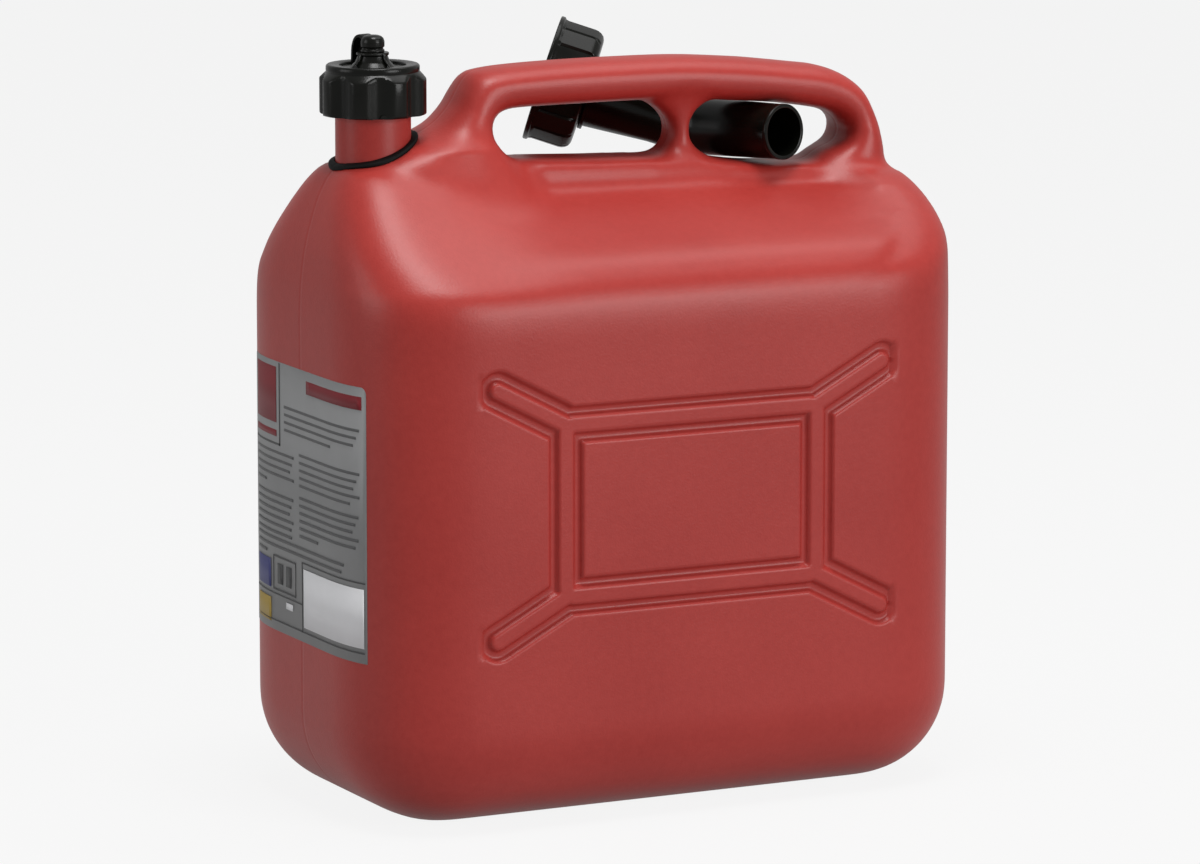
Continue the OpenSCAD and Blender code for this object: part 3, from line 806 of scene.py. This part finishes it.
def makeNeckRing():
    c = collar
    mid, half = (c["inner"] + c["outer"]) / 2, (c["outer"] - c["inner"]) / 2
    section = [softRound(math.tau * k / c["sides"], c["power"]) for k in range(c["sides"])]
    bm = bmesh.new()
    turned(bm, [(mid + half * u, c["thick"] / 2 * (1 + w)) for u, w in section], 120,
           (neck["x"], 0, 0), True)
    for v in bm.verts:  # lay it on the shoulder
        v.co.z += onCan(v.co.x, v.co.y) + c["lift"] * mm
    finishPiece("neck_soft_ring", bm, "can", softSkin, "neck_ring", 60)


makeNeckRing()


spout = dict(at=(3.8, 82.6, 373.4), lean=107.9, swing=-29.5, roll=-111.6, nutR=34, nutL=26, lands=16,
             landGap=0.09, landCut=1.2, hole=18.9, bore=20.4, sleeve=23.4, skirt=30, rootR=18.5, bendR=15.6,
             endR=14.9, wall=2, bend=45.6, bendAt=45, rootL=39, endL=53, flangeZ=19.2, flangeR=20.1,
             collarR=20.5, seal=(16.6, 20, 17.2, 19.1))
atSpout = (Matrix.Translation(spout["at"]) @ Matrix.Rotation(math.radians(spout["swing"]), 4, "Z")
           @ Matrix.Rotation(math.radians(spout["lean"]), 4, "Y")
           @ Matrix.Rotation(math.radians(spout["roll"]), 4, "Z"))


def nutRing(q, z, share, count=192):  # one level of the nut, with a share of the grip's flats and gaps
    s = spout
    ring = []
    for i in range(count):
        a = math.tau * i / count
        w = (a * s["lands"] / math.tau) % 1
        cut = ease((0.5 - abs(w - 0.5)) / s["landGap"])
        flat = q * (1 - math.cos(math.pi / s["lands"]) / math.cos((w - 0.5) * math.tau / s["lands"]))
        r = q - (s["landCut"] * (1 - cut) + flat) * share
        ring.append(tuple(atSpout @ Vector((r * math.cos(a), r * math.sin(a), z))))
    return ring


def makeSpoutNut():
    s = spout
    r, l = s["nutR"], s["nutL"]
    hole, bore, sleeve, skirt = s["hole"], s["bore"], s["sleeve"], s["skirt"]
    outer = [  # radius, height, share of the grip's flats
        (r + 0.6, 0, 0), (r + 1, 0.4, 0), (r + 1, 2, 0), (r + 0.7, 2.5, 0), (r, 2.9, 0), (r, 4, 0.5),
        (r, 4.8, 1), (r, l - 6, 1), (r - 0.3, l - 4.2, 1), (r - 1.1, l - 2.4, 1), (r - 2.4, l - 1, 0.5),
        (r - 4.4, l - 0.2, 0), (r - 5.5, l, 0)]
    inner = [(hole + 0.4, l), (hole, l - 0.4), (hole, l - 3.4), (bore - 0.2, l - 3.5), (bore, l - 3.7),
             (bore, 0.5), (bore + 0.4, 0), (sleeve - 0.5, 0), (sleeve, 0.4), (sleeve, l - 5),
             (sleeve + 1, l - 4.2), (skirt - 2.4, l - 4.4), (skirt - 0.2, l - 8), (skirt, l - 9),
             (skirt, 0.5), (skirt + 0.5, 0)]
    bm = bmesh.new()
    loft(bm, [nutRing(*row) for row in outer] + [nutRing(q, z, 0) for q, z in inner], "join")
    finishPiece("spout_ribbed_nut", bm, "spout_ring", blackSkin, "spout_nut", 40)


def makeSpoutTube(count=64):
    s = spout
    nutL, rootL, endL, flangeZ = s["nutL"], s["rootL"], s["endL"], s["flangeZ"]
    root, mid, tip, flange, ring = s["rootR"], s["bendR"], s["endR"], s["flangeR"], s["collarR"]
    bendFrom, bendL = nutL + rootL, math.radians(s["bend"]) * s["bendAt"]
    bendTo, end = bendFrom + bendL, bendFrom + bendL + endL
    stations = [  # way along the tube, radius
        (flangeZ, flange), (flangeZ + 0.2, flange), (flangeZ + 2.9, flange), (flangeZ + 3, root),
        (nutL + 0.3, root), (nutL + 0.5, ring - 0.3), (nutL + 0.9, ring), (nutL + 2.5, ring),
        (nutL + 2.9, ring - 0.3), (nutL + 3.1, root), (nutL + 4, root)]
    stations += [(nutL + 4 + (rootL - 4) * t / 8, root + (mid - root) * t / 8) for t in range(1, 9)]
    stations += [(bendFrom + bendL * t / 20, mid) for t in range(1, 21)]
    stations += [(bendTo + (endL - 3) * t / 6, mid + (tip - mid) * t / 6) for t in range(1, 7)]
    stations += [(end - 2.6, tip + 0.25), (end - 0.5, tip + 0.25), (end - 0.1, tip), (end, tip - 0.4),
                 (end, tip - 1.5), (end - 0.3, tip - 1.9)]
    inner = [(w, (root if w < nutL + 4 else r) - s["wall"]) for w, r in stations if w < end - 3]

    def point(w, r, a):
        x, y, z = r * math.cos(a), r * math.sin(a), w
        if w > bendFrom:
            t = min(w - bendFrom, bendL) / s["bendAt"]
            past = max(0, w - bendFrom - bendL)
            d = s["bendAt"] - x
            x = s["bendAt"] - d * math.cos(t) + past * math.sin(t)
            z = bendFrom + d * math.sin(t) + past * math.cos(t)
        return tuple(atSpout @ Vector((x, y, z)))

    bm = bmesh.new()
    loft(bm, [[point(w, r, math.tau * k / count) for k in range(count)]
              for w, r in stations + inner[::-1]], "join")
    finishPiece("spout_bent_tube", bm, "spout", blackSkin, "spout_tube", 40)


def makeSpoutSeal():
    bm = bmesh.new()
    flatSeal(bm, *spout["seal"])
    turnAll = atSpout.copy()
    turnAll.translation = Vector(spout["at"]) * mm
    bmesh.ops.transform(bm, matrix=turnAll, verts=bm.verts)
    finishPiece("spout_seal_ring", bm, "spout", softSkin, "spout_seal")


makeSpoutNut()
makeSpoutTube()
makeSpoutSeal()


studio = dict(floor=12, pale=0.42, dull=0.9, ambient=0.2, back=1, sky=0.92, even=0.88, mirrored=0.4)


def between(tree, value, low, high):
    level = tree.nodes.new("ShaderNodeMapRange")
    tree.links.new(value, level.inputs["Value"])
    level.inputs["To Min"].default_value, level.inputs["To Max"].default_value = low, high
    return level.outputs["Result"]


def seenBy(tree):  # one where the camera looks, and a share of that in mirrors and clear panes
    path = tree.nodes.new("ShaderNodeLightPath")
    seen = path.outputs["Is Camera Ray"]
    for ray in ("Is Glossy Ray", "Is Transmission Ray"):
        more = tree.nodes.new("ShaderNodeMath")
        more.operation = "MAXIMUM"
        tree.links.new(seen, more.inputs[0])
        tree.links.new(between(tree, path.outputs[ray], 0, studio["mirrored"]), more.inputs[1])
        seen = more.outputs["Value"]
    return seen


def floorSkin():  # matt, and evenly pale where it is looked at
    material = bpy.data.materials.new("pale floor")
    material.use_nodes = True
    tree = material.node_tree
    matt = tree.nodes["Principled BSDF"]
    matt.inputs["Base Color"].default_value = (studio["pale"],) * 3 + (1,)
    matt.inputs["Roughness"].default_value = studio["dull"]
    glow = tree.nodes.new("ShaderNodeEmission")
    glow.inputs["Strength"].default_value = studio["back"]
    both = tree.nodes.new("ShaderNodeMixShader")
    tree.links.new(between(tree, seenBy(tree), 0, studio["even"]), both.inputs[0])
    tree.links.new(matt.outputs[0], both.inputs[1])
    tree.links.new(glow.outputs[0], both.inputs[2])
    tree.links.new(both.outputs[0], tree.nodes["Material Output"].inputs["Surface"])
    return material


plane = bmesh.new()
bmesh.ops.create_grid(plane, x_segments=2, y_segments=2, size=studio["floor"])
floor = added("floor", meshOf("floor", plane))
floor.data.materials.append(floorSkin())

world = bpy.data.worlds.new("studio")
scene.world = world
world.use_nodes = True
tree = world.node_tree
sky = tree.nodes["Background"]
sky.inputs["Color"].default_value = (1, 1, 1, 1)
tree.links.new(between(tree, seenBy(tree), studio["ambient"], studio["sky"]), sky.inputs["Strength"])

lamps = [  # name, place, aim, size, watts
    ("key", (-0.1, -0.38, 2.2), (0, 0, 0.25), 0.75, 27), ("top", (0.8, 0.1, 2.1), (0, 0, 0.3), 1.2, 10),
    ("front", (1.2, -2.75, 1.05), (0, 0, 0.2), 1.5, 51), ("side", (-2.5, 0.3, 0.9), (0, 0, 0.2), 1.2, 13)]
for name, at, aim, size, watts in lamps:
    lamp = added(name, bpy.data.lights.new(name, "AREA"))
    lamp.data.size, lamp.data.energy = size, watts
    lamp.matrix_world = facing(at, Vector(aim) - Vector(at))
print("studio lit")
